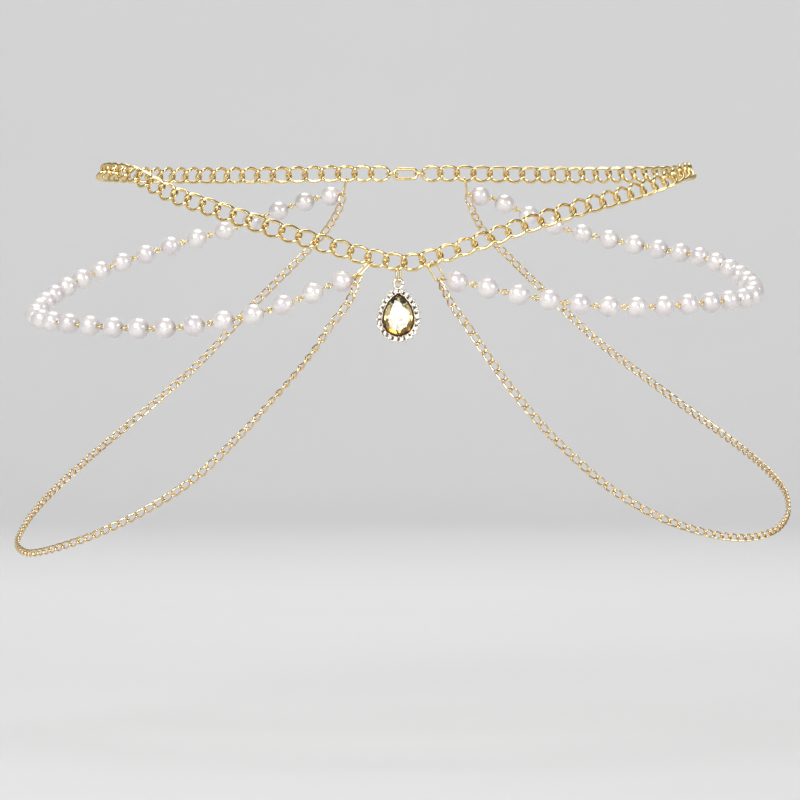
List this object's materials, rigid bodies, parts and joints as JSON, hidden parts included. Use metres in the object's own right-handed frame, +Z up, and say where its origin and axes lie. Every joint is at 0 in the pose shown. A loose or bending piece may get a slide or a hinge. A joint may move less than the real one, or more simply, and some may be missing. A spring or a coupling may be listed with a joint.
{
  "type": "waist chain",
  "caption": "Worn waist chain: flat curb chain with pearl festoons and fine drape chains over both hips and a pear-shaped halo pendant at the front.",
  "frame": {"origin": "centre of the waist opening, at the level of the main chain at the wearer's sides", "axes": "+X to the right as seen from the front, +Y to the back, +Z up"},
  "size_m": [0.3653, 0.232, 0.1882],
  "materials": {
    "main_gold": "polished, yellow gold plated",
    "ring_gold": "polished, yellow gold plated",
    "fine_gold": "polished, yellow gold plated",
    "pin_gold": "polished, pale gold plated",
    "setting_gold": "polished, pale gold plated",
    "pearl": "pearlescent white, glossy",
    "clear_stone": "cut and polished, clear",
    "champagne_stone": "cut and polished, champagne brown"
  },
  "bodies": {
    "chains": {"main_chain": "main_gold", "clasp": "ring_gold", "clasp_ring_left": "ring_gold", "clasp_ring_right": "ring_gold", "front_ring_left": "ring_gold", "front_ring_right": "ring_gold", "back_ring_left": "ring_gold", "back_ring_right": "ring_gold", "pearls_left": "pearl", "pearls_right": "pearl", "pearl_pins_left": "pin_gold", "pearl_pins_right": "pin_gold", "drape_chain_left": "fine_gold", "drape_chain_right": "fine_gold"},
    "bail": {"bail": "ring_gold"},
    "pendant": {"pendant_setting": "setting_gold", "halo_stones": "clear_stone", "pear_stone": "champagne_stone"}
  },
  "joints": [
    {"name": "bail_swing", "type": "hinge", "parent": "chains", "child": "bail", "pos_m": [-0.00069, -0.09329, -0.04714], "axis": [1, 0, 0], "range_deg": [-60, 60]},
    {"name": "pendant_swing", "type": "hinge", "parent": "bail", "child": "pendant", "pos_m": [-0.00069, -0.09329, -0.05304], "axis": [0, 1, 0], "range_deg": [-40, 40]}
  ]
}
